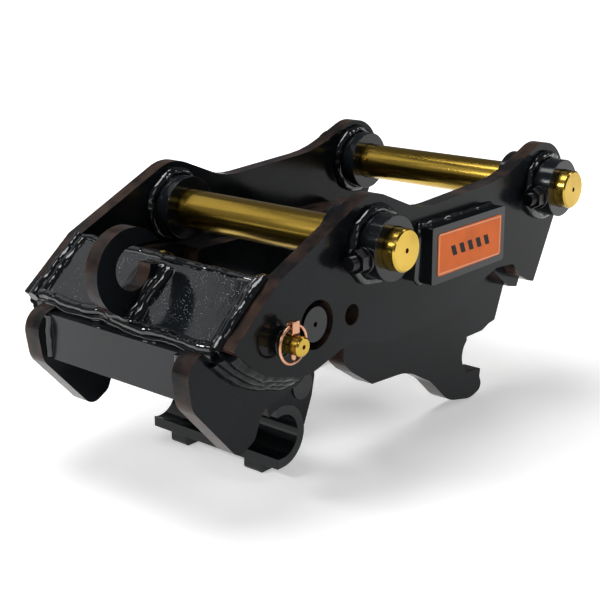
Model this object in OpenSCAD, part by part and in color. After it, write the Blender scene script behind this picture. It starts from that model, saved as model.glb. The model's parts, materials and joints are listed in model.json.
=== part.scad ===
// Quick coupler: fixed frame, hydraulic front jaw, two machine pins and a safety pin.
// Origin on the front pin's axis, midway between the side plates. +X to the rear hooks, +Z up.

/* [Frame] */
// Width over the two side plates
overall_w = 340; // [284:1:408]
// Distance between the two machine pins
pin_spacing = 376; // [340:0.1:452]
// Height of the rear pin above the front pin
rear_pin_rise = 11; // [0:0.5:20]
// Thickness of each side plate
side_t = 20; // [16:0.5:25]
// Thickness of the packer between a side plate and its lower plates
packer_t = 16; // [12:0.5:20]
// Thickness of the ear and hook plates
lower_t = 25; // [20:0.5:30]
// Radius of the humps round the machine pins
hump_r = 57.5; // [52:0.5:70]
// Thickness of the deck and cross plates
cross_t = 16; // [12:0.5:20]

/* [Machine pins] */
// Diameter of both machine pins
pin_d = 50; // [45:0.5:60]
// Outer diameter of the collars on the outer faces
collar_d = 76; // [74:0.5:95]
// Outer diameter of the collars on the inner faces
inner_collar_d = 82; // [78:0.5:100]
// Length of the outer collars
collar_l = 32; // [28:0.5:40]
// Length of the inner collars
inner_collar_l = 28; // [20:0.5:34]
// Length of pin standing out of each outer collar
pin_stand = 16; // [12:0.5:24]
// Size of the cross bolts that hold the pins
bolt_d = 16; // [12:1:18]
// Radial clearance of pins and bolts in their bores
pin_fit = 0.05; // [0.02:0.01:0.1]

/* [Jaw] */
// Diameter of the jaw's pivot pin
pivot_d = 40; // [34:0.5:48]
// Gap between the jaw and each ear plate
jaw_gap = 4; // [3:0.5:6]
// Diameter of the bucket pin that the claw and the hooks hold
bucket_pin_d = 50; // [42:0.5:60]
// Clearance between the bucket pin and the claw
claw_clear = 2; // [1:0.5:4]
// Wall of the claw
claw_t = 12; // [10:0.5:14]
// Thickness of the jaw's cheeks
cheek_t = 22; // [16:0.5:26]
// Distance from the jaw's pivot to the claw's centre
claw_reach = 156; // [150:0.5:170]
// Distance from the jaw's pivot to the rod pin
lever = 112; // [106:0.5:116]

/* [Cylinder] */
// Outer diameter of the cylinder barrel
barrel_d = 70; // [60:0.5:76]
// Wall of the barrel
barrel_wall = 8; // [6:0.5:10]
// Diameter of the piston rod
rod_d = 32; // [26:0.5:36]
// Diameter of the rod pin
rod_pin_d = 24; // [20:0.5:28]
// Largest jaw opening angle from rest
open_angle = 20; // [10:1:22]
// Largest jaw closing angle from rest
close_angle = 22; // [10:1:22]

/* [Safety pin] */
// Diameter of the safety pin
safety_d = 22; // [18:0.5:25]
// Diameter of the lynch pin's shank
lynch_d = 6; // [5:0.5:8]
// Radius of the lynch pin's ring
ring_r = 21; // [20:0.5:28]

/* [Hidden] */
$fn = 96;
half_w = overall_w / 2;
side_in = half_w - side_t;
lower_out = side_in - packer_t;
lower_in = lower_out - lower_t;
collar_end = half_w + collar_l;
pin_end = collar_end + pin_stand;
inner_end = side_in - inner_collar_l;
rear = [pin_spacing, rear_pin_rise];
pivot = [-98, -72];
safety = [-156, -76];
side_eye = [-36, -75];
side_eye_r = 12.5;
pivot_recess_d = pivot_d + 16;
jaw_half = lower_in - jaw_gap;
cheek_in = jaw_half - cheek_t;
claw_r = bucket_pin_d / 2 + claw_clear;
claw_R = claw_r + claw_t;
claw_c = pivot + claw_reach * [sin(6.2), -cos(6.2)];
// The rod pushes square to the lever at rest
rod_tilt = 27;
push = [cos(rod_tilt), sin(rod_tilt)];
toward_pivot = [-sin(rod_tilt), cos(rod_tilt)];
rod_pin = pivot - lever * toward_pivot;
eye_r = rod_pin_d / 2 + 8;
slot_play = 1;
slot_rise = lever * (1 - cos(max(open_angle, close_angle))) + slot_play;
rod_back = lever * sin(open_angle);
rod_forward = lever * sin(close_angle);
rod_shown = 27;
barrel_start = rod_back + eye_r + rod_shown;
barrel_l = 165;
gland_l = 14;
anchor = barrel_start + barrel_l + 34;
bracket_t = 16;
bracket_gap = 1;
anchor_w = 60;
anchor_d = 36;
saddle_at = barrel_start + barrel_l - 45;
black = [0.07, 0.07, 0.08];
gold = [0.75, 0.58, 0.12];
steel = [0.62, 0.63, 0.65];
copper = [0.75, 0.48, 0.33];

// Outline corner points: [x, z, corner radius]
nose = [-230, -69];
deck_top = [-159, -10.5];
deck_dir = (deck_top - nose) / norm(deck_top - nose);
deck_tilt = atan2(deck_dir.y, deck_dir.x);
deck_l = norm(deck_top - nose);
deck_lip = 4;
packer_top = -inner_collar_d / 2 - 2;
rear_corner = rear + [-7.6, -133];
valley_front = [95, 24];
valley_rear = rear + [-96, 24];
belly = -121;
notch = rear + [-82, -111];

function unit(v) = v / norm(v);
// A rounded corner at p between neighbours a and b, as points along its arc
function corner(a, p, b, r) =
    r == 0 ? [p] :
    let (u = unit(a - p), v = unit(b - p), half = acos(u * v) / 2,
         c = p + unit(u + v) * r / sin(half),
         s = p + u * r / tan(half) - c, e = p + v * r / tan(half) - c,
         a0 = atan2(s.y, s.x), turn = (atan2(e.y, e.x) - a0 + 900) % 360 - 180,
         n = max(3, ceil(abs(turn) / 8)))
    [for (i = [0:n]) c + r * [cos(a0 + turn * i / n), sin(a0 + turn * i / n)]];
function xz(p) = [p[0], p[1]];
function rounded(pts) =
    let (n = len(pts))
    [for (i = [0:n - 1]) each corner(xz(pts[(i + n - 1) % n]), xz(pts[i]), xz(pts[(i + 1) % n]), pts[i][2])];

// Angle at which a straight edge from p meets a hump round c, coming onto it (1) or leaving it (-1)
function touch(p, c, turn) =
    let (v = p - c)
    atan2(v.y, v.x) - turn * acos(hump_r / norm(v));
// Corner points over the hump round c, between the edges from p and to q
function hump(p, c, q) =
    let (a = touch(p, c, 1), span = (a - touch(q, c, -1) + 720) % 360, n = ceil(span / 4))
    [for (i = [0:n]) let (t = a - span * i / n) [c.x + hump_r * cos(t), c.y + hump_r * sin(t), 0]];

// Extrudes an X-Z outline from y0 to y1
module slab(y0, y1) {
    translate([0, y1, 0]) rotate([90, 0, 0]) linear_extrude(y1 - y0) children();
}
// A round bar or bore along Y
module bar(at, d, y0, y1) {
    translate([at[0], y1, at[1]]) rotate([90, 0, 0]) cylinder(d = d, h = y1 - y0);
}
module side(s) {
    mirror([0, s < 0 ? 1 : 0, 0]) children();
}
module both() {
    side(1) children();
    side(-1) children();
}
// Puts a piece drawn along +X from the rod pin into the cylinder's place
module on_axis(along = 0) {
    translate([rod_pin[0] + along * push[0], 0, rod_pin[1] + along * push[1]])
        rotate([0, -rod_tilt, 0]) children();
}
module along_x(d, x0, x1) {
    translate([x0, 0, 0]) rotate([0, 90, 0]) cylinder(d = d, h = x1 - x0);
}

module side_outline() {
    polygon(rounded([
        [nose.x, nose.y, 2], [deck_top.x, deck_top.y, 6], each hump(deck_top, [0, 0], valley_front),
        [valley_front.x, valley_front.y, 120], [valley_rear.x, valley_rear.y, 200],
        each hump(valley_rear, rear, rear_corner), [rear_corner.x, rear_corner.y, 2],
        [notch.x + 60, notch.y - 18, 6], [notch.x + 40, notch.y - 8, 6], [notch.x + 18, notch.y + 14, 12],
        [notch.x - 24, notch.y + 17, 14], [notch.x - 48, notch.y + 10, 10],
        [172, belly, 90], [30, belly - 5, 60], [-38, belly + 14, 60], [-112, belly - 7, 60],
        [-185, belly + 12, 100]]));
}
// Everything above the deck plate's underside, from its low end on
module over_deck() {
    translate(nose) rotate(deck_tilt) translate([-deck_lip, -cross_t]) square([2 * deck_l, 2 * deck_l]);
}
module side_plate(s) {
    color(black) side(s) difference() {
        slab(side_in, half_w) side_outline();
        bar([0, 0], pin_d + 2 * pin_fit, side_in - 1, half_w + 1);
        bar(rear, pin_d + 2 * pin_fit, side_in - 1, half_w + 1);
        bar(pivot, pivot_recess_d, side_in - 1, half_w + 1);
        bar(side_eye, 2 * side_eye_r, side_in - 1, half_w + 1);
        bar(safety, safety_d + 2 * pin_fit, side_in - 1, half_w + 1);
    }
}
module packer_plate(s) {
    color(black) side(s) difference() {
        slab(lower_out, side_in) polygon(rounded([
            [-196, packer_top, 8], [-200, -84, 20], [-150, belly + 16, 60], [-40, belly + 16, 60],
            [165, belly + 8, 60], [notch.x - 44, notch.y + 6, 10], [notch.x - 8, notch.y + 12, 10],
            [notch.x + 14, notch.y - 6, 8], [notch.x + 42, notch.y - 26, 6],
            [rear_corner.x - 10, rear_corner.y - 9, 2],
            [rear_corner.x + 22, rear_corner.y + 60, 20], [300, packer_top, 20]]));
        slab(lower_out - 1, side_in + 1) over_deck();
        bar(pivot, pivot_d + 2 * pin_fit, lower_out - 1, side_in + 1);
        bar(side_eye, 2 * side_eye_r, lower_out - 1, side_in + 1);
        bar(safety, safety_d + 2 * pin_fit, lower_out - 1, side_in + 1);
    }
}
module ear_plate(s) {
    color(black) side(s) difference() {
        slab(lower_in, lower_out) polygon(rounded([
            [-234, -76, 6], [-262, -84, 26], [-254, -136, 26], [-186, -211, 16], [-160, -197, 14],
            [-147, -166, 22], [-78, -151, 30], [-58, -120, 12], [-58, -40, 10], [-178, -40, 10]]));
        slab(lower_in - 1, lower_out + 1) over_deck();
        bar(pivot, pivot_d + 2 * pin_fit, lower_in - 1, lower_out + 1);
        bar(safety, safety_d + 2 * pin_fit, lower_in - 1, lower_out + 1);
    }
}
// The rear hook opens to the rear and seats a bucket pin
hook_c = [278, -210];
hook_r = claw_r - 1;
module hook_plate(s) {
    color(black) side(s) slab(lower_in, lower_out) difference() {
        polygon(rounded([
            [-2, -52, 10], [-6, -150, 20], [12, -166, 20], [52, -192, 2], [125, -196, 90], [178, -224, 70],
            [222, -264, 60], [276, -276, 40], [306, -268, 10], [298, -250, 8], [300, -238, 3],
            [262, -236, 0], [262, -184, 0], [300, -184, 8], [316, -178, 6], [331, -176, 3],
            [rear_corner.x - 22, rear_corner.y - 17, 2], [rear_corner.x + 6, rear_corner.y + 50, 20],
            [316, -40, 10], [120, -52, 20]]));
        translate(hook_c) circle(r = hook_r);
    }
}
module deck_plate() {
    color(black) translate([nose.x, 0, nose.y]) rotate([0, -deck_tilt, 0])
        translate([-deck_lip, -side_in, -cross_t]) cube([deck_l + deck_lip, 2 * side_in, cross_t]);
}
module front_plate() {
    front_x = -245;
    color(black) translate([front_x, -lower_in, -134]) cube([cross_t, 2 * lower_in, 54]);
}
// Leaning cross plate that carries the barrel
module mid_plate() {
    color(black) on_axis(saddle_at) difference() {
        translate([-cross_t / 2, -lower_in, -48]) cube([cross_t, 2 * lower_in, 104]);
        along_x(barrel_d + 2 * pin_fit, -cross_t, cross_t);
    }
}
module rear_plate() {
    color(black) translate([300, -lower_in, -122]) cube([cross_t, 2 * lower_in, 74]);
}
module cylinder_bracket(s) {
    p = rod_pin + anchor * push;
    color(black) side(s) difference() {
        slab(anchor_w / 2 + bracket_gap, anchor_w / 2 + bracket_gap + bracket_t) polygon(rounded([
            [p.x - 16, p.y - 34, 8], [300, -112, 0], [300, -50, 0], [p.x + 10, p.y + 34, 24],
            [p.x - 30, p.y + 28, 16], [p.x - 34, p.y + 4, 12]]));
        bar(p, anchor_d + 2 * pin_fit, anchor_w / 2, anchor_w / 2 + bracket_gap + bracket_t + 1);
    }
}
eye_c = [-219, -16];
eye_R = 49.5;
eye_bore = 25;
eye_t = 20;
module lifting_eye() {
    color(black) slab(-eye_t / 2, eye_t / 2) difference() {
        circle_at(eye_c, eye_R);
        circle_at(eye_c + [2, 4], eye_bore);
        polygon(rounded([
            [-219, 13, 0], [-221, -21, 0], [-207, -23, 6], [-196, -11.5, 9], [-150, -18, 0], [-150, 13, 0]]));
        translate(nose) rotate(deck_tilt) translate([-80, -80]) square([260, 80]);
    }
}
module circle_at(c, r) {
    translate(c) circle(r = r);
}

module outer_collars(at) {
    color(black) difference() {
        both() bar(at, collar_d, half_w, collar_end);
        bar(at, pin_d + 2 * pin_fit, -collar_end - 1, collar_end + 1);
        bolt_hole(at);
    }
}
module inner_collars(at) {
    color(black) both() difference() {
        bar(at, inner_collar_d, inner_end, side_in);
        bar(at, pin_d + 2 * pin_fit, inner_end - 1, side_in + 1);
    }
}
bolt_y = half_w + 17;
bolt_drop = 8;
module bolt_hole(at) {
    translate([at[0], -bolt_y, at[1] - bolt_drop]) along_x(bolt_d + 2 * pin_fit, -collar_d, collar_d);
}
pin_chamfer = 2;
module machine_pin(at, grease_y) {
    color(gold) difference() {
        translate([at[0], 0, at[1]]) rotate([90, 0, 0]) rotate_extrude() polygon([
            [0, -pin_end], [pin_d / 2 - pin_chamfer, -pin_end], [pin_d / 2, -pin_end + pin_chamfer],
            [pin_d / 2, pin_end - pin_chamfer], [pin_d / 2 - pin_chamfer, pin_end], [0, pin_end]]);
        bolt_hole(at);
        for (s = [1, -1]) bar(at, 6, s > 0 ? pin_end - 8 : -pin_end - 1, s > 0 ? pin_end + 1 : -pin_end + 8);
        if (grease_y > 0) translate([at[0] - pin_d / 2 - 1, grease_y, at[1] + 6]) along_x(6, 0, 8);
    }
}
nut_h = 13;
washer_t = 3;
bolt_head = 10;
module bolt_seat(at) {
    translate([at[0], -bolt_y, at[1] - bolt_drop]) children();
}
seat_x = sqrt(pow(collar_d / 2, 2) - pow(bolt_drop - bolt_d / 2 - 4, 2)) + 0.5;
// Hexagon across the bolt, drawn along X
module hex_x(h) {
    rotate([0, 90, 0]) cylinder(d = bolt_d * 1.73, h = h, $fn = 6);
}
module pin_bolts() {
    color(steel) for (at = [[0, 0], rear]) bolt_seat(at) {
        along_x(bolt_d, -seat_x - washer_t - nut_h - 11, seat_x + washer_t);
        translate([seat_x + washer_t, 0, 0]) hex_x(bolt_head);
    }
}
module pin_nuts() {
    color(steel) for (at = [[0, 0], rear]) bolt_seat(at) difference() {
        translate([-seat_x - washer_t - nut_h, 0, 0]) hex_x(nut_h);
        along_x(bolt_d + 2 * pin_fit, -2 * collar_d, 0);
    }
}
module pin_washers() {
    color(steel) for (at = [[0, 0], rear]) bolt_seat(at) for (x = [-seat_x - washer_t, seat_x]) difference() {
        along_x(bolt_d * 1.9, x, x + washer_t);
        along_x(bolt_d + 2 * pin_fit, x - 1, x + washer_t + 1);
    }
}
label_t = 22;
label_tilt = 0.6;
module label_at() {
    translate([169, 0, -28]) rotate([0, -label_tilt, 0]) children();
}
module label_plate() {
    color(black) label_at() slab(-half_w - label_t, -half_w) polygon(rounded([
        [-81, -36, 4], [79, -36, 4], [79, 34, 4], [-81, 34, 4]]));
}
decal_t = 0.8;
module label_decal() {
    color([0.85, 0.3, 0.16]) label_at() slab(-half_w - label_t - decal_t, -half_w - label_t) polygon(rounded([
        [-70, -27, 4], [70, -27, 4], [70, 25, 4], [-70, 25, 4]]));
}

hub_d = pivot_d + 30;
bush_t = 5;
module pivot_pin() {
    color(black) difference() {
        bar(pivot, pivot_d, 2 - half_w, half_w - 2);
        for (s = [1, -1]) bar(pivot, 6, s > 0 ? half_w - 12 : -half_w - 1, s > 0 ? half_w + 1 : -half_w + 12);
    }
}
module jaw_hub() {
    color(black) difference() {
        bar(pivot, hub_d, -jaw_half, jaw_half);
        bar(pivot, pivot_d + 2 * bush_t, -jaw_half - 1, jaw_half + 1);
    }
}
bush_l = 45;
module jaw_bushes() {
    color([0.7, 0.5, 0.25]) both() difference() {
        bar(pivot, pivot_d + 2 * bush_t, jaw_half - bush_l, jaw_half);
        bar(pivot, pivot_d + 2 * pin_fit, jaw_half - bush_l - 1, jaw_half + 1);
    }
}
module jaw_cheek(s) {
    color(black) side(s) difference() {
        slab(cheek_in, jaw_half) polygon(rounded([
            [pivot.x - 30, pivot.y + 4, 20], [pivot.x - 22, pivot.y - 60, 50], [claw_c.x - 24, claw_c.y + 34, 0],
            [claw_c.x, claw_c.y, 0], [claw_c.x + claw_R - 0.6, claw_c.y + 2, 6], [rod_pin.x + 19, rod_pin.y - 18, 20],
            [rod_pin.x + 25, rod_pin.y + 12, 25], [pivot.x + 30, pivot.y - 10, 40], [pivot.x + 10, pivot.y + 10, 10]]));
        bar(pivot, hub_d, cheek_in - 1, jaw_half + 1);
        bar(claw_c, 2 * claw_R, cheek_in - 1, jaw_half + 1);
        bar(rod_pin, rod_pin_d + 2 * pin_fit, cheek_in - 1, jaw_half + 1);
    }
}
// Half tube that opens forward and hooks under the bucket pin
claw_lip_l = 9;
module claw_outline() {
    difference() {
        union() {
            circle(r = claw_R);
            translate([-claw_lip_l - 6, -claw_R]) square([claw_lip_l + 6, claw_t + 2]);
        }
        circle(r = claw_r);
        polygon([[0, 0], [-14.5, claw_R + 5], [-2 * claw_R, 2 * claw_R], [-2 * claw_R, -2 * claw_R],
            [-claw_lip_l, -2 * claw_R], [-claw_lip_l, 0]]);
    }
}
// The relief clears the rod eye's lower end when the jaw is open
module jaw_claw() {
    color(black) difference() {
        translate([claw_c.x, 0, claw_c.y]) slab(-jaw_half, jaw_half) claw_outline();
        bar(rod_pin, 2 * (eye_r + slot_rise + 1), -eye_w / 2 - spacer_gap, eye_w / 2 + spacer_gap);
    }
}
foot_h = 16;
foot_w = 25;
module jaw_feet() {
    color(black) both() difference() {
        translate([claw_c.x, 0, claw_c.y]) slab(50, 50 + foot_w) polygon(rounded([
            [-8, -claw_R + 6, 0], [-8, -claw_R - foot_h + 2, 6], [26, -claw_R - foot_h + 2, 10],
            [32, -claw_R + 14, 0]]));
        bar(claw_c, 2 * claw_R, 49, 51 + foot_w);
        translate([claw_c.x - claw_R, 49, claw_c.y - claw_R]) cube([claw_R, foot_w + 2, claw_R]);
    }
}
module jaw_web() {
    color(black) slab(-cheek_in, cheek_in) difference() {
        polygon([[pivot.x - 24, pivot.y - 10], [pivot.x - 4, pivot.y - 10],
            [claw_c.x + 2, claw_c.y + 20], [claw_c.x - 14, claw_c.y + 20]]);
        circle_at(pivot, hub_d / 2);
        circle_at(claw_c, claw_R);
    }
}
module rod_pin_bar() {
    color(steel) {
        bar(rod_pin, rod_pin_d, -jaw_half, jaw_half);
        both() bar(rod_pin, rod_pin_d + 10, jaw_half, jaw_half + 2);
    }
}
spacer_gap = 2;
module rod_spacers() {
    color(black) both() difference() {
        bar(rod_pin, rod_pin_d + 14, eye_w / 2 + spacer_gap, cheek_in);
        bar(rod_pin, rod_pin_d + 2 * pin_fit, eye_w / 2, cheek_in + 1);
    }
}
eye_w = 40;
barrel_end_t = 12;
gland_spigot = 16;
// At full closing the piston stops this far short of the gland
piston_gap = 7;
rod_l = barrel_start + gland_l + gland_spigot + piston_gap + rod_forward;
module rod_eye() {
    color(black) on_axis() difference() {
        union() {
            slab(-eye_w / 2, eye_w / 2) union() {
                circle(r = eye_r);
                translate([0, slot_rise]) circle(r = eye_r);
                translate([-eye_r, 0]) square([2 * eye_r, slot_rise]);
            }
        }
        for (z = [0, slot_rise]) bar([0, z], rod_pin_d + 2 * slot_play, -eye_w, eye_w);
        translate([-rod_pin_d / 2 - slot_play, -eye_w, 0]) cube([rod_pin_d + 2 * slot_play, 2 * eye_w, slot_rise]);
    }
}
module piston_rod() {
    color(steel) on_axis() along_x(rod_d, eye_r, rod_l);
}
piston_t = 30;
bore_d = barrel_d - 2 * barrel_wall;
module piston() {
    color(steel) on_axis() along_x(bore_d - 2 * pin_fit, rod_l, rod_l + piston_t);
}
module cylinder_barrel() {
    color(black) on_axis() difference() {
        along_x(barrel_d, barrel_start + gland_l, barrel_start + barrel_l);
        along_x(bore_d, barrel_start, barrel_start + barrel_l - barrel_end_t);
    }
}
module cylinder_gland() {
    color(steel) on_axis() difference() {
        union() {
            along_x(barrel_d, barrel_start, barrel_start + gland_l);
            along_x(bore_d, barrel_start + gland_l, barrel_start + gland_l + gland_spigot);
        }
        along_x(rod_d + 2 * pin_fit, barrel_start - 1, barrel_start + 2 * gland_l + gland_spigot);
    }
}
module rod_wiper() {
    color([0.1, 0.1, 0.1]) on_axis() difference() {
        along_x(rod_d + 14, barrel_start - 4, barrel_start);
        along_x(rod_d + 2 * pin_fit, barrel_start - 5, barrel_start + 1);
    }
}
module barrel_eye() {
    color(black) on_axis() difference() {
        union() {
            bar([anchor, 0], anchor_d + 24, -anchor_w / 2, anchor_w / 2);
            translate([barrel_start + barrel_l, -anchor_w / 2, -(anchor_d + 24) / 2])
                cube([anchor - barrel_start - barrel_l, anchor_w, anchor_d + 24]);
        }
        bar([anchor, 0], anchor_d + 2 * pin_fit, -anchor_w, anchor_w);
    }
}
module barrel_pin() {
    half = anchor_w / 2 + bracket_gap + bracket_t + 6;
    color(steel) bar(rod_pin + anchor * push, anchor_d, -half, half);
}
module port_plugs() {
    color(steel) on_axis() difference() {
        for (x = [barrel_start + 34, barrel_start + barrel_l - 18]) translate([x, 0, barrel_d / 2 - 4]) {
            cylinder(d = 26, h = 10);
            translate([0, 0, 10]) cylinder(d = 22, h = 8, $fn = 6);
        }
        along_x(barrel_d, barrel_start, barrel_start + barrel_l);
    }
}

lynch_y = half_w + 16;
safety_end = half_w + 31;
safety_head = 6;
head_at = half_w + 8;
boss_t = 6;
module safety_bosses() {
    color(black) both() difference() {
        bar(safety, safety_d + 10, half_w, half_w + boss_t);
        bar(safety, safety_d + 2 * pin_fit, half_w - 1, half_w + boss_t + 1);
    }
}
module safety_pin() {
    r = safety_d / 2;
    head_r = r + 6;
    color(gold) difference() {
        translate([safety.x, 0, safety.y]) rotate([-90, 0, 0]) rotate_extrude() polygon([
            [0, -safety_end], [r - 2, -safety_end], [r, -safety_end + 2], [r, head_at], [head_r, head_at],
            [head_r, head_at + safety_head - 1], [head_r - 1, head_at + safety_head], [0, head_at + safety_head]]);
        translate([safety.x, -lynch_y, safety.y - safety_d]) cylinder(d = lynch_d + 2 * pin_fit, h = 2 * safety_d);
        bar(safety, 5, -safety_end - 1, -safety_end + 6);
    }
}
ring_wire = 3.2;
head_z = safety.y + ring_r;
lynch_head = [11, 10];
lynch_tip = 4;
module lynch_pin() {
    tip_z = safety.y - safety_d / 2 - lynch_tip;
    head_foot = safety.y + safety_d / 2 + 1;
    color(copper) difference() {
        union() {
            translate([safety.x, -lynch_y, tip_z]) cylinder(d = lynch_d, h = head_foot + 1 - tip_z);
            translate([safety.x, -lynch_y, tip_z]) sphere(d = lynch_d);
            translate([safety.x - lynch_head[0] / 2, -lynch_y - lynch_head[1] / 2, head_foot])
                cube([lynch_head[0], lynch_head[1], head_z + 5 - head_foot]);
        }
        translate([safety.x, -lynch_y, head_z]) along_x(ring_wire + 3, -8, 8);
    }
}
module lynch_ring() {
    color(copper) translate([safety.x, -lynch_y, safety.y]) rotate([90, 0, 0])
        rotate_extrude() translate([ring_r, 0]) circle(d = ring_wire, $fn = 24);
}
side_plate(1);  // side_plate_left
side_plate(-1);  // side_plate_right
packer_plate(1);  // packer_plate_left
packer_plate(-1);  // packer_plate_right
ear_plate(1);  // ear_plate_left
ear_plate(-1);  // ear_plate_right
hook_plate(1);  // hook_plate_left
hook_plate(-1);  // hook_plate_right
deck_plate();
front_plate();
mid_plate();
rear_plate();
cylinder_bracket(1);  // cylinder_bracket_left
cylinder_bracket(-1);  // cylinder_bracket_right
lifting_eye();
outer_collars([0, 0]);  // front_outer_collars
outer_collars(rear);  // rear_outer_collars
inner_collars([0, 0]);  // front_inner_collars
inner_collars(rear);  // rear_inner_collars
machine_pin([0, 0], 0);  // front_pin
machine_pin(rear, inner_end - 12);  // rear_pin
pin_bolts();
pin_nuts();
pin_washers();
label_plate();
label_decal();
pivot_pin();
jaw_hub();
jaw_bushes();
jaw_cheek(1);  // jaw_cheek_left
jaw_cheek(-1);  // jaw_cheek_right
jaw_claw();
jaw_feet();
jaw_web();
rod_pin_bar();  // jaw_rod_pin
rod_spacers();
rod_eye();
piston_rod();
piston();
cylinder_barrel();
cylinder_gland();
rod_wiper();
barrel_eye();
barrel_pin();
port_plugs();
safety_bosses();
safety_pin();
lynch_pin();
lynch_ring();
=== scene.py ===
import json
import math

import bpy
from bpy.props import FloatProperty, FloatVectorProperty, IntProperty, PointerProperty
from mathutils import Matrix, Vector


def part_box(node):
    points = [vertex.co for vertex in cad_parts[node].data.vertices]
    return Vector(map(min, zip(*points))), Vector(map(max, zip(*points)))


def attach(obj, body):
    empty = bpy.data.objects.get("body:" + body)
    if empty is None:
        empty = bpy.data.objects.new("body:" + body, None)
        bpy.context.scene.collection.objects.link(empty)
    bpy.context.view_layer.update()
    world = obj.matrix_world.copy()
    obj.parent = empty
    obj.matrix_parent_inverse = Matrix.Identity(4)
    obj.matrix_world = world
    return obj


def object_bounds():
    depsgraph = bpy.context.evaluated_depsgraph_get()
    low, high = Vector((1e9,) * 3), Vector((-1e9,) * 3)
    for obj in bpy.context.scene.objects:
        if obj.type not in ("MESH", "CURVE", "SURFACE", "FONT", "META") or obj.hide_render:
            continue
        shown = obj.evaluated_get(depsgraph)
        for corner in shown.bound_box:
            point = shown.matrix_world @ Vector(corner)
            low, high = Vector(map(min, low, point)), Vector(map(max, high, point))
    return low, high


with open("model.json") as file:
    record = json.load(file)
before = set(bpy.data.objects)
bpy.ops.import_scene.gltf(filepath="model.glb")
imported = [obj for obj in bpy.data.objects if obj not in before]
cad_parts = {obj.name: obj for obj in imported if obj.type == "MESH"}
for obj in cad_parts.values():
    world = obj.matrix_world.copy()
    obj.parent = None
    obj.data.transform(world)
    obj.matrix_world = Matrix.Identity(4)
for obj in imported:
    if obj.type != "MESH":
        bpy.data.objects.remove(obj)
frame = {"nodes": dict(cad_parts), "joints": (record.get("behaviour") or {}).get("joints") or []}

bl_info = {
    "name": "Quick coupler finishes",
    "version": (1, 0, 0),
    "blender": (4, 5, 0),
    "location": "3D View > Sidebar > Coupler",
    "description": "Paint, plating, weld beads and small hardware for an excavator quick coupler",
    "category": "Object",
}

CAD_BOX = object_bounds()
NODES = frame["nodes"]
PIVOT = Vector(frame["joints"][0]["pos_m"])
BOLT_RADIUS = 0.008            # the cross bolts' nominal radius
BOLT_DROP = 0.008              # how far a cross bolt lies below its pin's axis
THREAD_PITCH = 0.002
THREAD_TURNS = 5
THREAD_STEPS = 16              # points along one turn of a thread
THREAD_WIRE = 0.0008           # radius of a thread's ridge
PIN_REACH = 0.1                # a bolt within this X distance of a pin belongs to it
THREAD_START = 0.001           # the first thread's distance from the bolt's end
THREAD_SINK = 0.0002           # how far a thread's ridge sinks into the bolt
SHARP_EDGE = 0.7               # edges folded by more than this, in radians, are rounded
SEAT = 0.001                   # how far a bead is set into the corner it fills

# Height as a share of the bead's radius, and waves per metre over two pi, of the deck beads' wander.
DECK_WAVES = ((0.5, 19.0), (0.35, 61.0))
# Beads along the deck's sides: distance in from the side plate, margins at the foot and the head, rise.
DECK_SIDE_PASSES = ((0.0025, 0.0, 0.0, 0.0005), (0.010, 0.003, 0.004, -0.0022))
EYE_TAIL = 0.043               # the lifting eye's length ahead of its welded foot
EYE_MARGIN = 0.004
# Beads round the lifting eye's foot: distance out from the eye, rise.
EYE_PASSES = ((0.0035, 0.0035), (0.0095, 0.0005))
# Beads under the side plate on the ear: share of the step's width, drop from the edge, first and last X.
EAR_PASSES = ((0.68, -0.001, -0.222, -0.122), (0.36, 0.006, -0.226, -0.114), (0.06, 0.012, -0.224, -0.106))
HOOK_SEAM = (0.004, 0.250)     # first and last X of the bead along the hook plate
CLAW_ARC = (5, 105)            # first and last angle of the claw's beads, in degrees
# Lights: name, place, aim, width, height, power.
LIGHTS = (
    ("overhead", (-0.2, 0.3, 2.3), (0.05, 0.05, -0.05), 1.5, 1.5, 44),
    ("left_wall", (-2.4, 1.0, 1.5), (-0.1, 0, -0.05), 0.8, 0.4, 40),
    ("rear_panel", (-0.5, 1.9, 1.55), (-0.2, 0, -0.05), 2.0, 0.9, 3),
    ("right_strip", (1.7, -1.5, 1.3), (0.1, 0, -0.05), 0.4, 1.2, 7),
    ("camera_fill", (-1.3, -2.0, 1.5), (0, 0, -0.05), 1.0, 0.6, 4),
)


# ---------------------------------------------------------------- sizes and colours a user would change

class PaintSettings(bpy.types.PropertyGroup):
    black: FloatVectorProperty(
        name="Enamel", description="Colour of the gloss black enamel", subtype="COLOR",
        default=(0.0042, 0.0052, 0.0062))
    # Painted reflection: the brown on flame-cut edges stands in for a brown surrounding reflected in them.
    edge_reflection_brown: FloatVectorProperty(
        name="Cut edge", description="Colour that shows on flame-cut edges", subtype="COLOR",
        default=(0.062, 0.036, 0.026))
    roughness: FloatProperty(
        name="Roughness", description="Roughness of the enamel on flat faces", default=0.17, min=0.0, max=1.0)
    sheen: FloatProperty(
        name="Sheen", description="Strength of the reflections on flat faces", default=0.12, min=0.0, max=1.0)
    edge_round: FloatProperty(
        name="Edge rounding", description="Width of the rounded edge on cut plate", default=0.0009, unit="LENGTH")


class PlatingSettings(bpy.types.PropertyGroup):
    gold: FloatVectorProperty(
        name="Yellow zinc", description="Colour of the plated pins", subtype="COLOR", default=(0.62, 0.41, 0.07))
    copper: FloatVectorProperty(
        name="Copper", description="Colour of the lynch pin", subtype="COLOR", default=(0.68, 0.36, 0.22))
    decal: FloatVectorProperty(
        name="Decal", description="Colour of the label's vinyl", subtype="COLOR", default=(0.80, 0.17, 0.035))


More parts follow.
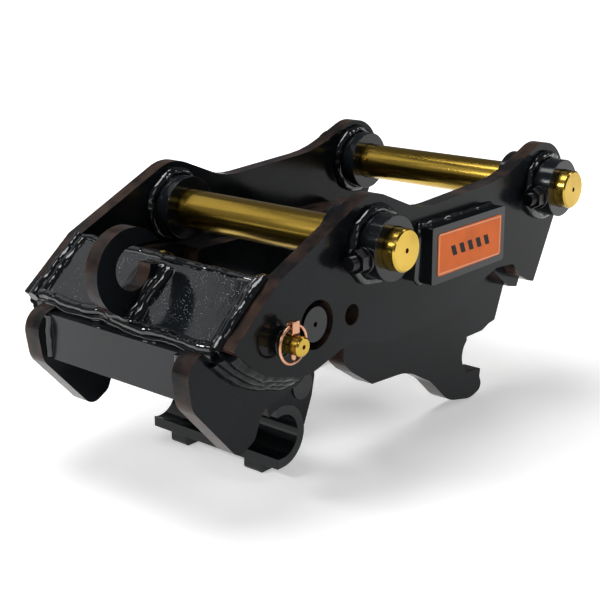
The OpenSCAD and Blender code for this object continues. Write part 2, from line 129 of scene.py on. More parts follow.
class WeldSettings(bpy.types.PropertyGroup):
    deck_bead: FloatProperty(
        name="Deck bead", description="Radius of the beads round the deck plate", default=0.0062, unit="LENGTH")
    lap_bead: FloatProperty(
        name="Lap bead", description="Radius of each pass between side plate and ear", default=0.0095, unit="LENGTH")
    collar_bead: FloatProperty(
        name="Collar bead", description="Radius of the beads round the collars", default=0.0060, unit="LENGTH")
    ripple: FloatProperty(
        name="Ripple", description="Spacing of the ripples along a bead", default=0.0075, unit="LENGTH")
    seed: IntProperty(name="Seed", description="Seed of the beads' uneven shape", default=7)


class StageSettings(bpy.types.PropertyGroup):
    camera_place: FloatVectorProperty(
        name="Camera", description="Where the camera stands", subtype="XYZ", default=(-1.0748, -0.9801, 0.3335))
    azimuth: FloatProperty(name="Azimuth", description="Camera turn about Z", subtype="ANGLE", default=-0.864)
    elevation: FloatProperty(name="Elevation", description="Camera height angle", subtype="ANGLE", default=0.289)
    field: FloatProperty(name="Field of view", description="Camera angle of view", subtype="ANGLE", default=0.4806)


# ---------------------------------------------------------------- shader building

class Shader:
    """A node material under construction."""

    def __init__(self, name):
        self.material = bpy.data.materials.new(name)
        self.material.use_nodes = True
        self.tree = self.material.node_tree
        self.tree.nodes.clear()
        self.out = self.add("ShaderNodeOutputMaterial")
        self.skin = self.add("ShaderNodeBsdfPrincipled")
        self.link(self.skin.outputs["BSDF"], self.out.inputs["Surface"])
        self.place = self.add("ShaderNodeTexCoord").outputs["Object"]

    def add(self, kind, **settings):
        node = self.tree.nodes.new(kind)
        for key, value in settings.items():
            setattr(node, key, value)
        return node

    def link(self, a, b):
        self.tree.links.new(a, b)

    def mapped(self, scale=(1, 1, 1), shift=(0, 0, 0)):
        node = self.add("ShaderNodeMapping")
        node.inputs["Scale"].default_value = scale
        node.inputs["Location"].default_value = shift
        self.link(self.place, node.inputs["Vector"])
        return node.outputs["Vector"]

    def noise(self, scale, detail=2.0, vector=None):
        node = self.add("ShaderNodeTexNoise")
        node.inputs["Scale"].default_value = scale
        node.inputs["Detail"].default_value = detail
        self.link(vector or self.place, node.inputs["Vector"])
        return node.outputs["Fac"]

    def ramp(self, value, low, high, out_low=0.0, out_high=1.0):
        node = self.add("ShaderNodeMapRange", clamp=True)
        for key, number in (("From Min", low), ("From Max", high), ("To Min", out_low), ("To Max", out_high)):
            node.inputs[key].default_value = number
        self.link(value, node.inputs["Value"])
        return node.outputs["Result"]

    def math(self, operation, a, b=None):
        node = self.add("ShaderNodeMath", operation=operation)
        for socket, value in zip(node.inputs, (a, b)):
            if isinstance(value, (int, float)):
                socket.default_value = value
            elif value is not None:
                self.link(value, socket)
        return node.outputs["Value"]

    def mix(self, factor, a, b):
        node = self.add("ShaderNodeMix", data_type="RGBA")
        if isinstance(factor, (int, float)):
            node.inputs["Factor"].default_value = factor
        else:
            self.link(factor, node.inputs["Factor"])
        sockets = [s for s in node.inputs if s.type == "RGBA"]
        for socket, value in zip(sockets, (a, b)):
            if isinstance(value, (tuple, list)):
                socket.default_value = (*value[:3], 1.0)
            else:
                self.link(value, socket)
        return [s for s in node.outputs if s.type == "RGBA"][0]

    def bump(self, height, strength, distance, under=None):
        node = self.add("ShaderNodeBump")
        node.inputs["Strength"].default_value = strength
        node.inputs["Distance"].default_value = distance
        self.link(height, node.inputs["Height"])
        if under is not None:
            self.link(under, node.inputs["Normal"])
        return node.outputs["Normal"]

    def set(self, **values):
        for key, value in values.items():
            socket = self.skin.inputs[key.replace("_", " ")]
            if isinstance(value, (int, float)):
                socket.default_value = value
            elif isinstance(value, (tuple, list)):
                socket.default_value = (*value[:3], 1.0)
            else:
                self.link(value, socket)


def enamel(name, paint, cut_edges=False, mirror=0.0, dust=0.0):
    """Gloss black enamel; flat faces show orange peel, flame-cut edges show drag lines and patches of painted brown
    reflection.
    """
    s = Shader(name)
    black = tuple(paint.black)
    broad = s.noise(9.0, 3.0)
    fine = s.noise(330.0, 2.0)
    smoothest = paint.roughness - 0.06 - 0.1 * mirror
    dullest = paint.roughness + 0.06 - 0.12 * mirror
    rough = s.ramp(broad, 0.3, 0.7, smoothest, dullest)
    colour = s.mix(s.ramp(broad, 0.35, 0.75), black, tuple(2.0 * c for c in black))
    normal = s.bump(fine, 0.10, 0.0006)
    if dust:
        dots = s.add("ShaderNodeTexVoronoi")
        dots.inputs["Scale"].default_value = 430.0
        s.link(s.place, dots.inputs["Vector"])
        specks = s.math("MULTIPLY", s.ramp(dots.outputs["Distance"], 0.10, 0.22, 1.0, 0.0),
                        s.ramp(s.noise(26.0, 3.0), 0.46, 0.62))
        colour = s.mix(s.math("MULTIPLY", specks, dust), colour, (0.6, 0.62, 0.68))
        normal = s.bump(s.noise(70.0, 4.0), 0.22, 0.0012, normal)
    if cut_edges:
        facing = s.add("ShaderNodeSeparateXYZ")
        s.link(s.add("ShaderNodeNewGeometry").outputs["Normal"], facing.inputs["Vector"])
        edge = s.ramp(s.math("ABSOLUTE", facing.outputs["Y"]), 0.35, 0.75, 1.0, 0.0)
        drag = s.noise(430.0, 2.0, s.mapped((1, 0.07, 1)))
        patch = s.noise(24.0, 3.0)
        # Painted reflection: edge faces get patches of brown that stand in for a brown surrounding reflected there.
        edge_reflection_mix = s.math("MULTIPLY", edge, s.ramp(patch, 0.42, 0.7, 0.08, 0.9))
        colour = s.mix(edge_reflection_mix, colour, tuple(paint.edge_reflection_brown))
        lines = s.math("MULTIPLY", s.math("SUBTRACT", drag, 0.5), edge)
        normal = s.bump(lines, 0.3, 0.0009, normal)
    s.set(Base_Color=colour, Roughness=rough, Normal=normal, Specular_IOR_Level=paint.sheen + 0.5 * mirror,
          Coat_Weight=0.4 * mirror, Coat_Roughness=0.06)
    return s.material


def bead_enamel(name, paint, gloss=0.6):
    """Enamel lying thick and wet-looking over a weld bead."""
    s = Shader(name)
    normal = s.bump(s.noise(55.0, 1.0), 0.25, 0.002)
    s.set(Base_Color=tuple(paint.black), Roughness=s.ramp(s.noise(40.0), 0.3, 0.7, 0.06, 0.16), Normal=normal,
          Specular_IOR_Level=gloss, Coat_Weight=0.4 * gloss, Coat_Roughness=0.03)
    return s.material


def plated_pin(name, colour, centre, wear=0.0):
    """Yellow zinc over turned steel: rings on the ends, faint lathe lines along the shank."""
    s = Shader(name)
    lathe = s.noise(900.0, 1.0, s.mapped((0.02, 1.0, 0.02)))
    cloud = s.noise(18.0, 4.0, s.mapped((1, 0.35, 1)))
    rings = s.add("ShaderNodeTexWave", wave_type="RINGS", rings_direction="Y")
    rings.inputs["Scale"].default_value = 210.0
    rings.inputs["Distortion"].default_value = 0.6
    s.link(s.mapped((1, 1, 1), (-centre.x, 0, -centre.z)), rings.inputs["Vector"])
    dark = tuple(0.45 * c for c in colour)
    base = s.mix(s.ramp(cloud, 0.35, 0.7, 0.0, 0.55), tuple(colour), dark)
    if wear:
        base = s.mix(s.ramp(s.noise(160.0, 4.0), 0.62, 0.75, 0.0, wear), base, (0.5, 0.5, 0.48))
    normal = s.bump(rings.outputs["Fac"], 0.12, 0.0002, s.bump(lathe, 0.10, 0.0003))
    s.set(Base_Color=base, Metallic=1.0, Roughness=s.ramp(cloud, 0.3, 0.7, 0.15, 0.27), Normal=normal)
    return s.material


def plain_metal(name, colour, rough=0.3):
    """Bare or plated metal with a cloudy, finely grained surface."""
    s = Shader(name)
    cloud = s.noise(60.0, 4.0)
    base = s.mix(s.ramp(cloud, 0.3, 0.75, 0.0, 0.5), tuple(colour), tuple(0.55 * c for c in colour))
    s.set(Base_Color=base, Metallic=1.0, Roughness=s.ramp(cloud, 0.3, 0.7, rough - 0.07, rough + 0.08),
          Normal=s.bump(s.noise(420.0, 2.0), 0.12, 0.0004))
    return s.material


def rubber(name):
    """Dull black rubber."""
    s = Shader(name)
    s.set(Base_Color=s.mix(s.noise(80.0), (0.012, 0.012, 0.012), (0.03, 0.03, 0.03)), Roughness=0.6,
          Normal=s.bump(s.noise(500.0), 0.15, 0.0004))
    return s.material


def vinyl(name, colour):
    """Orange vinyl with a thin pale border and plain bars, laid out on the decal's own box."""
    s = Shader(name)
    low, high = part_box("label_decal")
    middle = (low + high) / 2
    half = (high - low) / 2
    split = s.add("ShaderNodeSeparateXYZ")
    s.link(s.mapped((1, 1, 1), (-middle.x, 0, -middle.z)), split.inputs["Vector"])
    x = s.math("ABSOLUTE", split.outputs["X"])
    z = s.math("ABSOLUTE", split.outputs["Z"])

    def inside(value, limit):
        return s.math("LESS_THAN", value, limit)

    def panel(margin):
        return s.math("MULTIPLY", inside(x, half.x - margin), inside(z, half.z - margin))

    border = s.math("SUBTRACT", panel(0.0022), panel(0.0034))
    slant = s.math("ADD", split.outputs["X"], s.math("MULTIPLY", split.outputs["Z"], 0.45))
    stripe = s.math("LESS_THAN", s.math("PINGPONG", slant, 0.009), 0.0048)
    bars = s.math("MULTIPLY", stripe, s.math("MULTIPLY", inside(x, half.x * 0.62), inside(z, half.z * 0.24)))
    base = s.mix(s.ramp(s.noise(30.0, 3.0), 0.3, 0.7), tuple(colour), tuple(0.85 * c for c in colour))
    base = s.mix(border, base, (0.85, 0.45, 0.3))
    base = s.mix(bars, base, (0.02, 0.018, 0.02))
    s.set(Base_Color=base, Roughness=0.5, Normal=s.bump(s.noise(220.0), 0.06, 0.0004), Specular_IOR_Level=0.1)
    return s.material


# ---------------------------------------------------------------- geometry nodes

def new_tree(name, inputs):
    """A geometry node tree with a Geometry input and output and the named inputs given."""
    tree = bpy.data.node_groups.new(name, "GeometryNodeTree")
    tree.interface.new_socket("Geometry", in_out="INPUT", socket_type="NodeSocketGeometry")
    for label, kind in inputs:
        tree.interface.new_socket(label, in_out="INPUT", socket_type=kind)
    tree.interface.new_socket("Geometry", in_out="OUTPUT", socket_type="NodeSocketGeometry")
    return tree, tree.nodes.new("NodeGroupInput"), tree.nodes.new("NodeGroupOutput")


def bead_tree():
    """Sweeps a path into a weld bead with ripples and an uneven body."""
    tree, source, result = new_tree("WeldBead", [
        ("Radius", "NodeSocketFloat"), ("Ripple", "NodeSocketFloat"), ("Depth", "NodeSocketFloat"),
        ("Wander", "NodeSocketFloat"), ("Seed", "NodeSocketFloat"), ("Finish", "NodeSocketMaterial")])
    add, link = tree.nodes.new, tree.links.new

    def maths(operation, a, b=None):
        node = add("ShaderNodeMath")
        node.operation = operation
        for socket, value in zip(node.inputs, (a, b)):
            if isinstance(value, (int, float)):
                socket.default_value = value
            elif value is not None:
                link(value, socket)
        return node.outputs[0]

    resample = add("GeometryNodeResampleCurve")
    resample.mode = "LENGTH"
    link(source.outputs["Geometry"], resample.inputs["Curve"])
    link(maths("MULTIPLY", source.outputs["Ripple"], 0.2), resample.inputs["Length"])
    along = add("GeometryNodeSplineParameter").outputs["Length"]
    phase = maths("DIVIDE", maths("MULTIPLY", along, math.pi), source.outputs["Ripple"])
    wave = maths("ABSOLUTE", maths("SINE", phase))
    lumps = add("ShaderNodeTexNoise")
    lumps.noise_dimensions = "4D"
    lumps.inputs["Scale"].default_value = 42.0
    lumps.inputs["Detail"].default_value = 2.0
    link(source.outputs["Seed"], lumps.inputs["W"])
    swell = maths("ADD", 0.78, maths("MULTIPLY", lumps.outputs["Fac"], 0.5))
    body = maths("MULTIPLY", swell, maths("ADD", 1.0, maths("MULTIPLY", wave, source.outputs["Depth"])))
    radius = add("GeometryNodeSetCurveRadius")
    link(resample.outputs["Curve"], radius.inputs["Curve"])
    link(maths("MULTIPLY", body, source.outputs["Radius"]), radius.inputs["Radius"])
    ring = add("GeometryNodeCurvePrimitiveCircle")
    ring.inputs["Resolution"].default_value = 14
    ring.inputs["Radius"].default_value = 1.0
    sweep = add("GeometryNodeCurveToMesh")
    sweep.inputs["Fill Caps"].default_value = True
    link(radius.outputs["Curve"], sweep.inputs["Curve"])
    link(ring.outputs["Curve"], sweep.inputs["Profile Curve"])
    scale_socket = sweep.inputs.get("Scale")
    if scale_socket is not None:
        link(add("GeometryNodeInputRadius").outputs["Radius"], scale_socket)
    drift = add("ShaderNodeTexNoise")
    drift.noise_dimensions = "4D"
    drift.inputs["Scale"].default_value = 38.0
    drift.inputs["Detail"].default_value = 1.0
    link(source.outputs["Seed"], drift.inputs["W"])
    centre = add("ShaderNodeVectorMath")
    centre.operation = "SUBTRACT"
    centre.inputs[1].default_value = (0.5, 0.5, 0.5)
    link(drift.outputs["Color"], centre.inputs[0])
    offset = add("ShaderNodeVectorMath")
    offset.operation = "SCALE"
    link(centre.outputs[0], offset.inputs[0])
    link(source.outputs["Wander"], offset.inputs["Scale"])
    move = add("GeometryNodeSetPosition")
    link(sweep.outputs["Mesh"], move.inputs["Geometry"])
    link(offset.outputs[0], move.inputs["Offset"])
    smooth = add("GeometryNodeSetShadeSmooth")
    link(move.outputs["Geometry"], smooth.inputs[0])
    real = add("GeometryNodeRealizeInstances")
    link(smooth.outputs[0], real.inputs[0])
    paint = add("GeometryNodeSetMaterial")
    link(real.outputs[0], paint.inputs["Geometry"])
    link(source.outputs["Finish"], paint.inputs["Material"])
    link(paint.outputs["Geometry"], result.inputs["Geometry"])
    return tree


def crisp_tree():
    """Joins a CAD node's loose triangles and shades it smooth except across sharp edges."""
    tree, source, result = new_tree("CrispEdges", [("Angle", "NodeSocketFloat")])
    add, link = tree.nodes.new, tree.links.new
    strip = add("GeometryNodeRemoveAttribute")
    strip.inputs["Name"].default_value = "custom_normal"
    link(source.outputs["Geometry"], strip.inputs["Geometry"])
    merge = add("GeometryNodeMergeByDistance")
    merge.inputs["Distance"].default_value = 0.00001
    link(strip.outputs["Geometry"], merge.inputs["Geometry"])
    faces = add("GeometryNodeSetShadeSmooth")
    link(merge.outputs["Geometry"], faces.inputs[0])
    angle = add("GeometryNodeInputMeshEdgeAngle")
    soft = add("FunctionNodeCompare")
    soft.operation = "LESS_THAN"
    link(angle.outputs["Unsigned Angle"], soft.inputs[0])
    link(source.outputs["Angle"], soft.inputs[1])
    edges = add("GeometryNodeSetShadeSmooth")
    edges.domain = "EDGE"
    link(faces.outputs[0], edges.inputs[0])
    link(soft.outputs["Result"], edges.inputs["Shade Smooth"])
    link(edges.outputs[0], result.inputs["Geometry"])
    return tree


def set_input(modifier, label, value):
    """Sets a modifier's input by the name it has in the tree."""
    for item in modifier.node_group.interface.items_tree:
        if item.name == label and item.in_out == "INPUT":
            modifier[item.identifier] = value
            return
    raise ValueError(f"the tree has no input named {label}")


def path_object(paths, closed):
    """A curve object with one straight-segment spline for each path."""
    curve = bpy.data.curves.new("path", "CURVE")
    curve.dimensions = "3D"
    for points in paths:
        spline = curve.splines.new("POLY")
        spline.points.add(len(points) - 1)
        for slot, p in zip(spline.points, points):
            slot.co = (*p, 1.0)
        spline.use_cyclic_u = closed
    source = bpy.data.objects.new("path", curve)
    bpy.context.scene.collection.objects.link(source)
    return source


def sweep_beads(name, paths, body, finish, radius, ripple, depth=0.02, wander=0.006, closed=False,
                seed=0):
    """Makes one plain mesh piece out of all the paths and rides it on a body."""
    source = path_object(paths, closed)
    modifier = source.modifiers.new("bead", "NODES")
    modifier.node_group = bpy.data.node_groups.get("WeldBead") or bead_tree()
    for label, value in (("Radius", radius), ("Ripple", ripple), ("Depth", depth), ("Wander", wander),
                         ("Seed", float(seed)), ("Finish", finish)):
        set_input(modifier, label, value)
    bpy.context.view_layer.update()
    graph = bpy.context.evaluated_depsgraph_get()
    mesh = bpy.data.meshes.new_from_object(source.evaluated_get(graph), depsgraph=graph)
    bpy.data.objects.remove(source)
    mesh.name = name
    piece = bpy.data.objects.new(name, mesh)
    bpy.context.scene.collection.objects.link(piece)
    if not mesh.materials:
        mesh.materials.append(finish)
    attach(piece, body)
    return piece


# ---------------------------------------------------------------- measuring the frame

def corner(node, direction):
    """The node's farthest vertex in a direction."""
    way = Vector(direction)
    return max((v.co for v in NODES[node].data.vertices), key=lambda p: p.dot(way)).copy()


def edge_height(node, x, top=False):
    """Height of a plate's upper or lower edge at x."""
    mesh = NODES[node].data
    found = []
    for edge in mesh.edges:
        a, b = (mesh.vertices[i].co for i in edge.vertices)
        if min(a.x, b.x) <= x <= max(a.x, b.x) and abs(a.x - b.x) > 1e-7:
            found.append(a.z + (b.z - a.z) * (x - a.x) / (b.x - a.x))
    if not found:
        raise ValueError(f"{node} has no edge at x = {x}")
    return max(found) if top else min(found)


def steps(start, stop, count):
    """Evenly spaced numbers from start to stop."""
    return [start + (stop - start) * i / (count - 1) for i in range(count)]


def circle_path(centre_x, centre_z, y, radius, count=72):
    """Points round a circle that faces along Y."""
    angles = [i * 2 * math.pi / count for i in range(count)]
    return [(centre_x + radius * math.cos(a), y, centre_z + radius * math.sin(a)) for a in angles]


def pin_axis(node):
    """The middle of a pin, which lies on its axis."""
    low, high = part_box(node)
    return (low + high) / 2


# ---------------------------------------------------------------- operators

class COUPLER_OT_stage(bpy.types.Operator):
    """Set out the floor, the soft lights and the camera"""
    bl_idname = "coupler.stage"
    bl_label = "Stage"

    def execute(self, context):
        scene = context.scene
        view = scene.coupler_stage
        scene.view_settings.view_transform = "Standard"
        self.floor(CAD_BOX[0].z)
        self.sky(scene)
        for light in LIGHTS:
            self.softbox(*light)
        lens = bpy.data.cameras.new("camera")
        lens.sensor_width = 36.0
        lens.lens = 18.0 / math.tan(view.field / 2)
        camera = bpy.data.objects.new("camera", lens)
        camera.location = view.camera_place
        camera.rotation_euler = (math.pi / 2 - view.elevation, 0.0, view.azimuth)
        scene.collection.objects.link(camera)
        scene.camera = camera
        return {"FINISHED"}

    def floor(self, height):
        reach = 30.0
        mesh = bpy.data.meshes.new("floor")
        ring = ((-reach, -reach), (reach, -reach), (reach, reach), (-reach, reach))
        mesh.from_pydata([(x, y, height) for x, y in ring], [], [(0, 1, 2, 3)])
        floor = bpy.data.objects.new("floor", mesh)
        bpy.context.scene.collection.objects.link(floor)
        s = Shader("glowing_floor")
        away = s.add("ShaderNodeVectorMath", operation="LENGTH")
        s.link(s.place, away.inputs[0])
        # Painted light: the floor glows, dimly within 0.5 m of its middle and rising to a full white glow 1.9 m out.
        s.set(Base_Color=(0.86, 0.86, 0.86), Roughness=0.7, Specular_IOR_Level=0.1, Emission_Color=(1.0, 1.0, 1.0),
              Emission_Strength=s.ramp(away.outputs["Value"], 0.5, 1.9, 0.42, 1.0))
        mesh.materials.append(s.material)

    def sky(self, scene):
        world = bpy.data.worlds.new("sky")
        world.use_nodes = True
        scene.world = world
        tree = world.node_tree
        back = tree.nodes["Background"]
        coord = tree.nodes.new("ShaderNodeTexCoord")
        split = tree.nodes.new("ShaderNodeSeparateXYZ")
        fade = tree.nodes.new("ShaderNodeValToRGB")
        fade.color_ramp.elements[0].color = (0.95, 0.95, 0.96, 1)
        fade.color_ramp.elements[1].color = (0.38, 0.39, 0.42, 1)
        fade.color_ramp.elements[1].position = 0.85
        tree.links.new(coord.outputs["Generated"], split.inputs[0])
        tree.links.new(split.outputs["Z"], fade.inputs["Fac"])
        tree.links.new(fade.outputs["Color"], back.inputs["Color"])
        back.inputs["Strength"].default_value = 0.16

    def softbox(self, name, place, aim, width, height, power):
        light = bpy.data.lights.new(name, "AREA")
        light.shape = "RECTANGLE"
        light.size, light.size_y, light.energy = width, height, power
        holder = bpy.data.objects.new(name, light)
        holder.location = place
        holder.rotation_euler = (Vector(aim) - Vector(place)).to_track_quat("-Z", "Y").to_euler()
        bpy.context.scene.collection.objects.link(holder)


def dress(node, material, rounding, angle=0.6):
    """Gives a CAD node its finish and lightly rounds its sharp edges."""
    piece = NODES[node]
    piece.data.materials.clear()
    piece.data.materials.append(material)
    for polygon in piece.data.polygons:
        polygon.material_index = 0
    crisp = piece.modifiers.new("crisp", "NODES")
    crisp.node_group = bpy.data.node_groups.get("CrispEdges") or crisp_tree()
    set_input(crisp, "Angle", angle)
    if rounding:
        bevel = piece.modifiers.new("edge", "BEVEL")
        bevel.width = rounding
        bevel.segments = 2
        bevel.limit_method = "ANGLE"
        bevel.angle_limit = SHARP_EDGE
        bevel.harden_normals = True


class COUPLER_OT_paint(bpy.types.Operator):
    """Paint the plates, collars, jaw and cylinder"""
    bl_idname = "coupler.paint"
    bl_label = "Paint"

    def execute(self, context):
        paint = context.scene.coupler_paint
        plate = enamel("cut_plate_enamel", paint, cut_edges=True)
        deck = enamel("deck_enamel", paint, mirror=0.8, dust=0.7)
        round_work = enamel("machined_enamel", paint, mirror=0.3)
        cut = ("side_", "packer_", "ear_", "hook_", "jaw_cheek", "cylinder_bracket")
        plates = [n for n in NODES if n.startswith(cut)]
        for node in plates + ["lifting_eye"]:
            dress(node, plate, paint.edge_round)
        for node in ("deck_plate", "front_plate", "mid_plate", "rear_plate", "label_plate", "jaw_web"):
            dress(node, deck if node == "deck_plate" else round_work, paint.edge_round)
        for node in ("front_outer_collars", "rear_outer_collars", "front_inner_collars", "rear_inner_collars",
                     "pivot_pin", "jaw_hub", "jaw_feet", "jaw_claw", "jaw_rod_pin", "rod_spacers", "rod_eye",
                     "cylinder_barrel", "barrel_eye", "safety_bosses"):
            dress(node, round_work, paint.edge_round)
        for node in ("pin_bolts", "pin_nuts", "pin_washers"):
            dress(node, plain_metal("dark_fastener_" + node, (0.045, 0.045, 0.05), 0.32), 0.0005)
        return {"FINISHED"}


class COUPLER_OT_plating(bpy.types.Operator):
    """Plate the pins and finish the bare metal, seal and decal"""
    bl_idname = "coupler.plating"
    bl_label = "Plating"

    def execute(self, context):
        plating = context.scene.coupler_plating
        for node, wear in (("front_pin", 0.0), ("rear_pin", 0.0), ("safety_pin", 0.5)):
            dress(node, plated_pin("zinc_" + node, plating.gold, pin_axis(node), wear), 0.0005)
        copper = plain_metal("copper_plate", plating.copper, 0.28)
        dress("lynch_pin", copper, 0.0012)
        dress("lynch_ring", copper, 0.0)
        steel = plain_metal("oiled_steel", (0.42, 0.42, 0.43), 0.3)
        for node in ("barrel_pin", "port_plugs", "cylinder_gland"):
            dress(node, steel, 0.0006)
        chrome = plain_metal("hard_chrome", (0.75, 0.76, 0.78), 0.12)
        for node in ("piston_rod", "piston"):
            dress(node, chrome, 0.0)
        dress("jaw_bushes", plain_metal("bronze", (0.5, 0.3, 0.12), 0.3), 0.0003)
        dress("rod_wiper", rubber("wiper_rubber"), 0.0006)
        dress("label_decal", vinyl("orange_vinyl", plating.decal), 0.0)
        return {"FINISHED"}


class COUPLER_OT_deck_welds(bpy.types.Operator):
    """Run beads round the deck plate and the lifting eye's foot"""
    bl_idname = "coupler.deck_welds"
    bl_label = "Deck welds"

    def execute(self, context):
        welds = context.scene.coupler_welds
        finish = bead_finish(context)
        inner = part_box("side_plate_left")[0].y
        low = corner("deck_plate", (-1, 0, 0.3))
        high = corner("deck_plate", (0.2, 0, 1))
        slope = high - low
        slope.y = 0
        slope.normalize()
        lift = Vector((-slope.z, 0, slope.x))
        r = welds.deck_bead
        across = steps(-inner + r, inner - r, 60)

        def along(y, start, stop, rise):
            return [Vector((low.x, y, low.z)) + slope * d + lift * rise for d in steps(start, stop, 30)]

        length = (Vector((high.x, 0, high.z)) - Vector((low.x, 0, low.z))).length
        wavy = [sum(r * share * math.sin(rate * y) for share, rate in DECK_WAVES) for y in across]

        def crosswise(margin, wander, rise):
            """A path from side to side that wanders along the slope."""
            return [Vector((low.x, y, low.z)) + slope * (margin + wander * w) + lift * rise
                    for y, w in zip(across, wavy)]

        foot = crosswise(0.004, 1.0, -0.001)
        head = crosswise(length - 0.003, 0.4, -0.002)
        under = [p + Vector((0.001, 0, -0.008)) for p in foot]
        sweep_beads("deck_foot_bead", [foot, under], "frame", finish, r * 1.1, welds.ripple,
                    seed=welds.seed)
        sweep_beads("deck_head_bead", [head], "frame", finish, r * 0.8, welds.ripple,
                    seed=welds.seed + 1)
        sides = [along(s * (inner - gap), first, length - last, rise)
                 for gap, first, last, rise in DECK_SIDE_PASSES for s in (-1, 1)]
        sweep_beads("deck_side_beads", sides, "frame", finish, r * 1.05, welds.ripple,
                    seed=welds.seed + 2)
        eye_low, eye_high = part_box("lifting_eye")
        start = (eye_low.x + EYE_TAIL - low.x) / slope.x
        stop = (eye_high.x - EYE_MARGIN - low.x) / slope.x
        half = (eye_high.y - eye_low.y) / 2
        loops = []
        for grow, rise in EYE_PASSES:
            there, back = (along(y, start - EYE_MARGIN, stop, rise) for y in (half + grow, -(half + grow)))
            loops.append(there + back[::-1])
        sweep_beads("eye_foot_bead", loops, "frame", finish, r, welds.ripple, wander=0.01,
                    closed=True, seed=welds.seed + 3)
        return {"FINISHED"}


def bead_finish(context):
    """The enamel that the beads share, made on first use."""
    return bpy.data.materials.get("bead_enamel") or bead_enamel("bead_enamel", context.scene.coupler_paint)


class COUPLER_OT_plate_welds(bpy.types.Operator):
    """Run the lap beads between side plates, packers, ears and hooks, and the cross plates' beads"""
    bl_idname = "coupler.plate_welds"
    bl_label = "Plate welds"

    def execute(self, context):
        welds = context.scene.coupler_welds
        finish = bead_finish(context)
        soft = bead_enamel("lap_bead_enamel", context.scene.coupler_paint, 0.16)
        r = welds.lap_bead
        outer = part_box("side_plate_left")[1].y
        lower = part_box("ear_plate_left")[1].y
        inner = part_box("ear_plate_left")[0].y
        for side, word in ((-1, "right"), (1, "left")):
            plate = "side_plate_" + word
            passes = []
            for share, drop, start, stop in EAR_PASSES:
                y = lower + (outer - lower) * share
                passes.append([(x, side * y, edge_height(plate, x) - drop) for x in steps(start, stop, 36)])
            sweep_beads("ear_lap_bead_" + word, passes, "frame", soft, r, welds.ripple * 1.4,
                        depth=0.015, seed=welds.seed + 5)
            seam = [(x, side * (lower + 0.003), edge_height(plate, x) + 0.004) for x in steps(*HOOK_SEAM, 60)]
            sweep_beads("hook_lap_bead_" + word, [seam], "frame", finish, r * 0.6, welds.ripple,
                        seed=welds.seed + 6)
        cross = []
        for node in ("front_plate", "rear_plate"):
            low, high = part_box(node)
            for y in (-inner + 0.002, inner - 0.002):
                for x in (low.x, high.x):
                    cross.append([(x, y, z) for z in steps(low.z + 0.002, high.z - 0.002, 20)])
        sweep_beads("cross_plate_beads", cross, "frame", finish, welds.deck_bead * 0.75, welds.ripple,
                    seed=welds.seed + 7)
        return {"FINISHED"}


class COUPLER_OT_collar_welds(bpy.types.Operator):
    """Run ring beads round the collars and a bead round the label plate"""
    bl_idname = "coupler.collar_welds"
    bl_label = "Collar welds"

    def execute(self, context):
        welds = context.scene.coupler_welds
        finish = bead_finish(context)
        r = welds.collar_bead
        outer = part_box("side_plate_left")[1].y
        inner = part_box("side_plate_left")[0].y
        rings = []
        for pin in ("front", "rear"):
            axis = pin_axis(pin + "_pin")
            for kind, face, out in (("outer", outer, 1), ("inner", inner, -1)):
                low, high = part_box(f"{pin}_{kind}_collars")
                radius = (high.z - low.z) / 2 + 0.5 * r
                y = face + out * 0.4 * r
                rings += [circle_path(axis.x, axis.z, s * y, radius) for s in (-1, 1)]
        sweep_beads("collar_beads", rings, "frame", finish, r, welds.ripple, wander=0.009, closed=True,
                    seed=welds.seed + 8)
        low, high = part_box("label_plate")
        y = high.y - SEAT
        frame_line = ([(x, y, low.z + SEAT) for x in steps(low.x + 0.003, high.x - 0.003, 30)]
                      + [(high.x, y, z) for z in steps(low.z + 0.004, high.z - 0.004, 12)]
                      + [(x, y, high.z - SEAT) for x in steps(high.x - 0.003, low.x + 0.003, 30)]
                      + [(low.x, y, z) for z in steps(high.z - 0.004, low.z + 0.004, 12)])
        sweep_beads("label_bead", [frame_line], "frame", finish, r * 0.7, welds.ripple, closed=True,
                    seed=welds.seed + 9)
        return {"FINISHED"}


class COUPLER_OT_jaw_welds(bpy.types.Operator):
    """Run the beads that join the jaw's cheeks to its claw and hub"""
    bl_idname = "coupler.jaw_welds"
    bl_label = "Jaw welds"

    def execute(self, context):
        welds = context.scene.coupler_welds
        finish = bead_finish(context)
        low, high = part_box("jaw_claw")
        radius = (high.z - low.z) / 2 + SEAT
        centre = Vector((high.x - radius, 0, (low.z + high.z) / 2))
        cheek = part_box("jaw_cheek_left")[0].y
        angles = steps(*(math.radians(a) for a in CLAW_ARC), 30)
        arcs = [[(centre.x + radius * math.cos(a), s * (cheek - SEAT), centre.z + radius * math.sin(a))
                 for a in angles] for s in (-1, 1)]
        sweep_beads("claw_beads", arcs, "jaw", finish, welds.collar_bead, welds.ripple,
                    seed=welds.seed + 10)
        hub_low, hub_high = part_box("jaw_hub")
        hub_r = (hub_high.z - hub_low.z) / 2
        rings = [circle_path(PIVOT.x, PIVOT.z, s * (cheek - SEAT), hub_r + SEAT) for s in (-1, 1)]
        sweep_beads("hub_beads", rings, "jaw", finish, welds.collar_bead, welds.ripple, closed=True,
                    seed=welds.seed + 11)
        return {"FINISHED"}


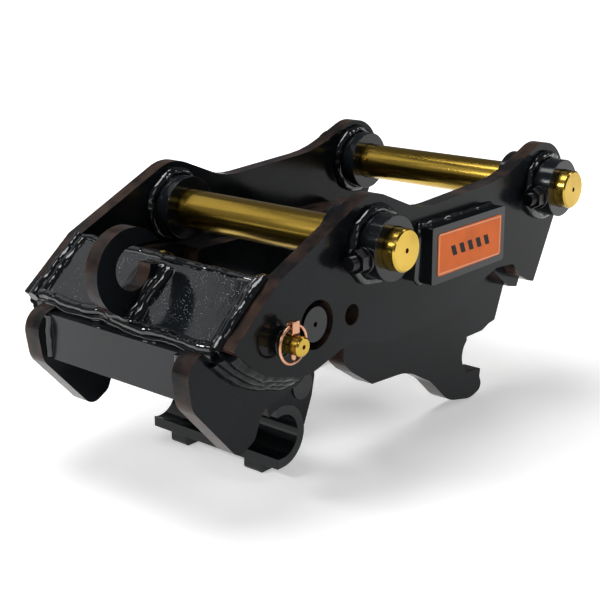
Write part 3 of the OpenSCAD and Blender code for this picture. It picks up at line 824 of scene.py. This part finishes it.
class COUPLER_OT_threads(bpy.types.Operator):
    """Cut threads on the cross bolts' free ends"""
    bl_idname = "coupler.threads"
    bl_label = "Bolt threads"

    def execute(self, context):
        finish = bpy.data.materials["dark_fastener_pin_bolts"]
        low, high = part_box("pin_nuts")
        mid_y = (low.y + high.y) / 2
        crest = BOLT_RADIUS - THREAD_SINK
        paths = []
        for pin in ("front_pin", "rear_pin"):
            axis = pin_axis(pin)
            z = axis.z - BOLT_DROP
            start = min(v.co.x for v in NODES["pin_bolts"].data.vertices if abs(v.co.x - axis.x) < PIN_REACH)
            turns = [math.tau * i / THREAD_STEPS for i in range(THREAD_STEPS * THREAD_TURNS)]
            paths.append([(start + THREAD_START + THREAD_PITCH * a / math.tau, mid_y + crest * math.cos(a),
                           z + crest * math.sin(a)) for a in turns])
        sweep_beads("bolt_threads", paths, "frame", finish, THREAD_WIRE, 0.006, depth=0.0,
                    wander=0.0)
        return {"FINISHED"}


class COUPLER_PT_panel(bpy.types.Panel):
    """Lists the coupler's finishing steps"""
    bl_idname = "COUPLER_PT_panel"
    bl_label = "Quick coupler"
    bl_space_type = "VIEW_3D"
    bl_region_type = "UI"
    bl_category = "Coupler"

    def draw(self, context):
        for group in (context.scene.coupler_paint, context.scene.coupler_plating, context.scene.coupler_welds,
                      context.scene.coupler_stage):
            box = self.layout.box()
            for name in group.bl_rna.properties.keys():
                if name not in ("rna_type", "name"):
                    box.prop(group, name)
        for operator in OPERATORS:
            self.layout.operator(operator.bl_idname)


SETTINGS = {"coupler_paint": PaintSettings, "coupler_plating": PlatingSettings, "coupler_welds": WeldSettings,
            "coupler_stage": StageSettings}
OPERATORS = [COUPLER_OT_stage, COUPLER_OT_paint, COUPLER_OT_plating, COUPLER_OT_deck_welds, COUPLER_OT_plate_welds,
             COUPLER_OT_collar_welds, COUPLER_OT_jaw_welds, COUPLER_OT_threads]


def register():
    for name, group in SETTINGS.items():
        bpy.utils.register_class(group)
        setattr(bpy.types.Scene, name, PointerProperty(type=group))
    for item in OPERATORS + [COUPLER_PT_panel]:
        bpy.utils.register_class(item)


def unregister():
    for item in reversed(OPERATORS + [COUPLER_PT_panel]):
        bpy.utils.unregister_class(item)
    for name, group in SETTINGS.items():
        delattr(bpy.types.Scene, name)
        bpy.utils.unregister_class(group)


def main():
    register()
    for operator in OPERATORS:
        family, action = operator.bl_idname.split(".")
        getattr(getattr(bpy.ops, family), action)()


if __name__ == "__main__":
    main()
